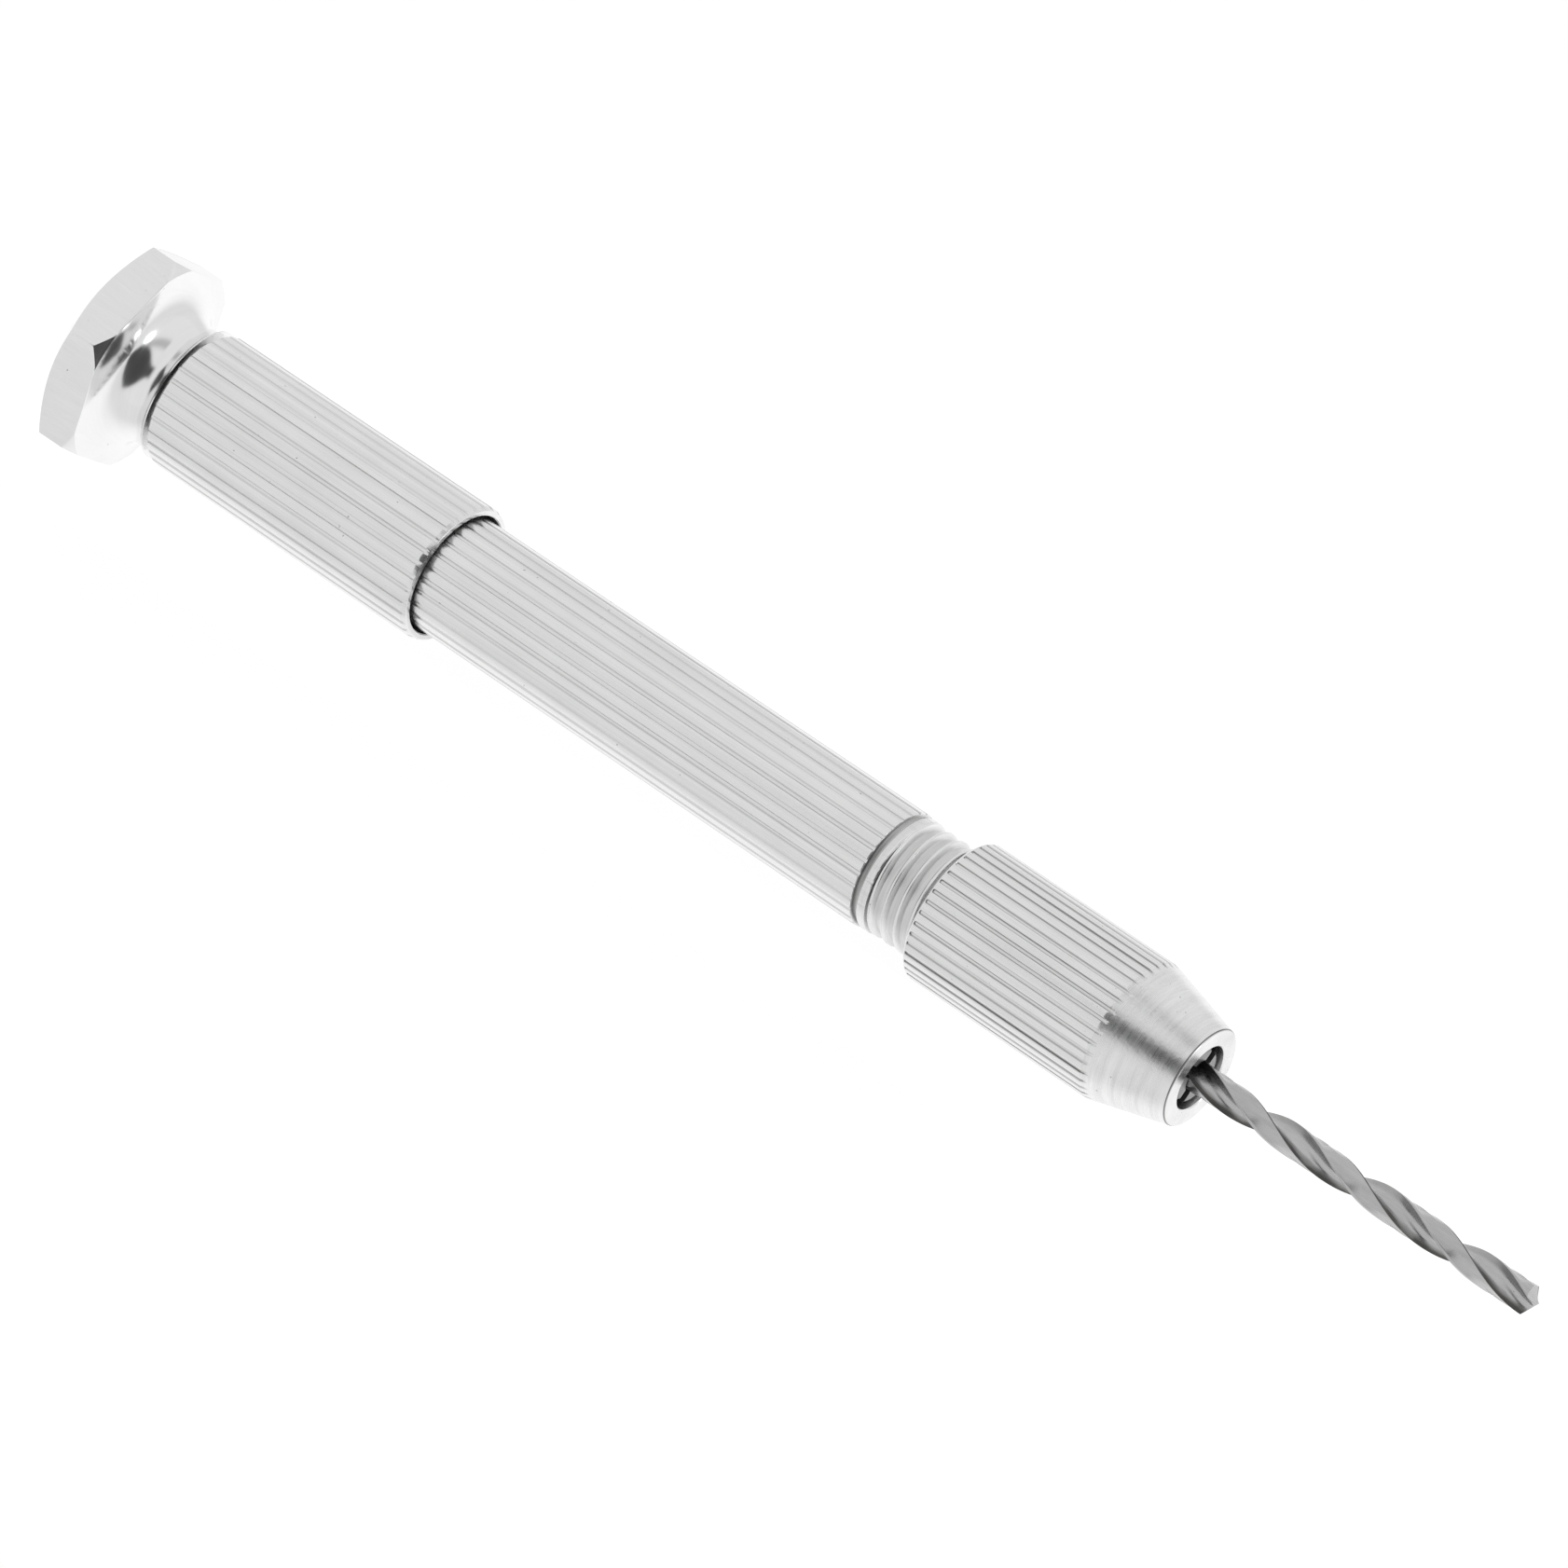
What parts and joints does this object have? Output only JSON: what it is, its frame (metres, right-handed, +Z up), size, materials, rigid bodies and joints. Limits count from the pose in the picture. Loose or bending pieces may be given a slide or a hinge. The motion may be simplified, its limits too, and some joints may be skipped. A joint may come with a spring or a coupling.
{
  "type": "pin vise drill",
  "caption": "Pin vise hand drill: swivelling hexagonal palm cap, fluted hollow handle with a screw-on tail, four-jaw collet, fluted chuck nut and a twist bit.",
  "frame": {"origin": "centre of the cap's flat palm face, on the tool's axis", "axes": "+X along the tool towards the bit's tip, +Z up, square to the hexagon flat that the cap rests on"},
  "size_m": [0.1418, 0.0196, 0.017],
  "materials": {
    "polished_aluminium": "turned and polished",
    "fluted_aluminium": "satin, drawn lines along the flutes",
    "spring_steel": "plain",
    "collet_steel": "turned",
    "bit_steel": "ground"
  },
  "bodies": {
    "barrel": {"barrel": "fluted_aluminium"},
    "thrust_washer": {"thrust_washer": "spring_steel"},
    "tail_sleeve": {"tail_sleeve": "fluted_aluminium", "cap_washer": "spring_steel"},
    "cap": {"hex_cap": "polished_aluminium", "pivot_stud": "spring_steel", "retaining_clip": "spring_steel"},
    "collet": {"collet_body": "collet_steel"},
    "jaw_1": {"collet_jaw_1": "collet_steel"},
    "jaw_2": {"collet_jaw_2": "collet_steel"},
    "jaw_3": {"collet_jaw_3": "collet_steel"},
    "jaw_4": {"collet_jaw_4": "collet_steel"},
    "chuck_nut": {"chuck_nut": "fluted_aluminium"},
    "drill_bit": {"drill_bit": "bit_steel"}
  },
  "joints": [
    {"name": "tail_travel", "type": "slide", "parent": "barrel", "child": "thrust_washer", "axis": [-1, 0, 0], "range_m": [0, 0.005]},
    {"name": "tail_turn", "type": "hinge", "parent": "thrust_washer", "child": "tail_sleeve", "pos_m": [0.0225, 0, 0], "axis": [-1, 0, 0], "range_deg": [0, 1450]},
    {"name": "cap_spin", "type": "hinge", "parent": "tail_sleeve", "child": "cap", "pos_m": [0.0084, 0, 0], "axis": [1, 0, 0], "continuous": true},
    {"name": "collet_travel", "type": "slide", "parent": "barrel", "child": "collet", "axis": [1, 0, 0], "range_m": [0, 0.005]},
    {"name": "nut_turn", "type": "hinge", "parent": "collet", "child": "chuck_nut", "pos_m": [0.0865, 0, 0], "axis": [1, 0, 0], "range_deg": [0, 1450]},
    {"name": "jaw_1_open", "type": "hinge", "parent": "collet", "child": "jaw_1", "pos_m": [0.0801, 0.00081, 0.00215], "axis": [0, -0.9354, 0.3535], "range_deg": [0, 0.65]},
    {"name": "jaw_2_open", "type": "hinge", "parent": "collet", "child": "jaw_2", "pos_m": [0.0801, -0.00215, 0.00081], "axis": [0, -0.3535, -0.9354], "range_deg": [0, 0.65]},
    {"name": "jaw_3_open", "type": "hinge", "parent": "collet", "child": "jaw_3", "pos_m": [0.0801, -0.00081, -0.00215], "axis": [0, 0.9354, -0.3535], "range_deg": [0, 0.65]},
    {"name": "jaw_4_open", "type": "hinge", "parent": "collet", "child": "jaw_4", "pos_m": [0.0801, 0.00215, -0.00081], "axis": [0, 0.3535, 0.9354], "range_deg": [0, 0.65]},
    {"name": "bit_slide", "type": "slide", "parent": "collet", "child": "drill_bit", "axis": [1, 0, 0], "range_m": [-0.022, 0.026]}
  ],
  "couplings": [
    {"joint": "tail_turn", "follows": "tail_travel", "rad_per_m": 5026.5},
    {"joint": "nut_turn", "follows": "collet_travel", "rad_per_m": 5026.5},
    {"joint": "jaw_1_open", "follows": "collet_travel", "rad_per_m": 2.0944},
    {"joint": "jaw_2_open", "follows": "collet_travel", "rad_per_m": 2.0944},
    {"joint": "jaw_3_open", "follows": "collet_travel", "rad_per_m": 2.0944},
    {"joint": "jaw_4_open", "follows": "collet_travel", "rad_per_m": 2.0944}
  ]
}
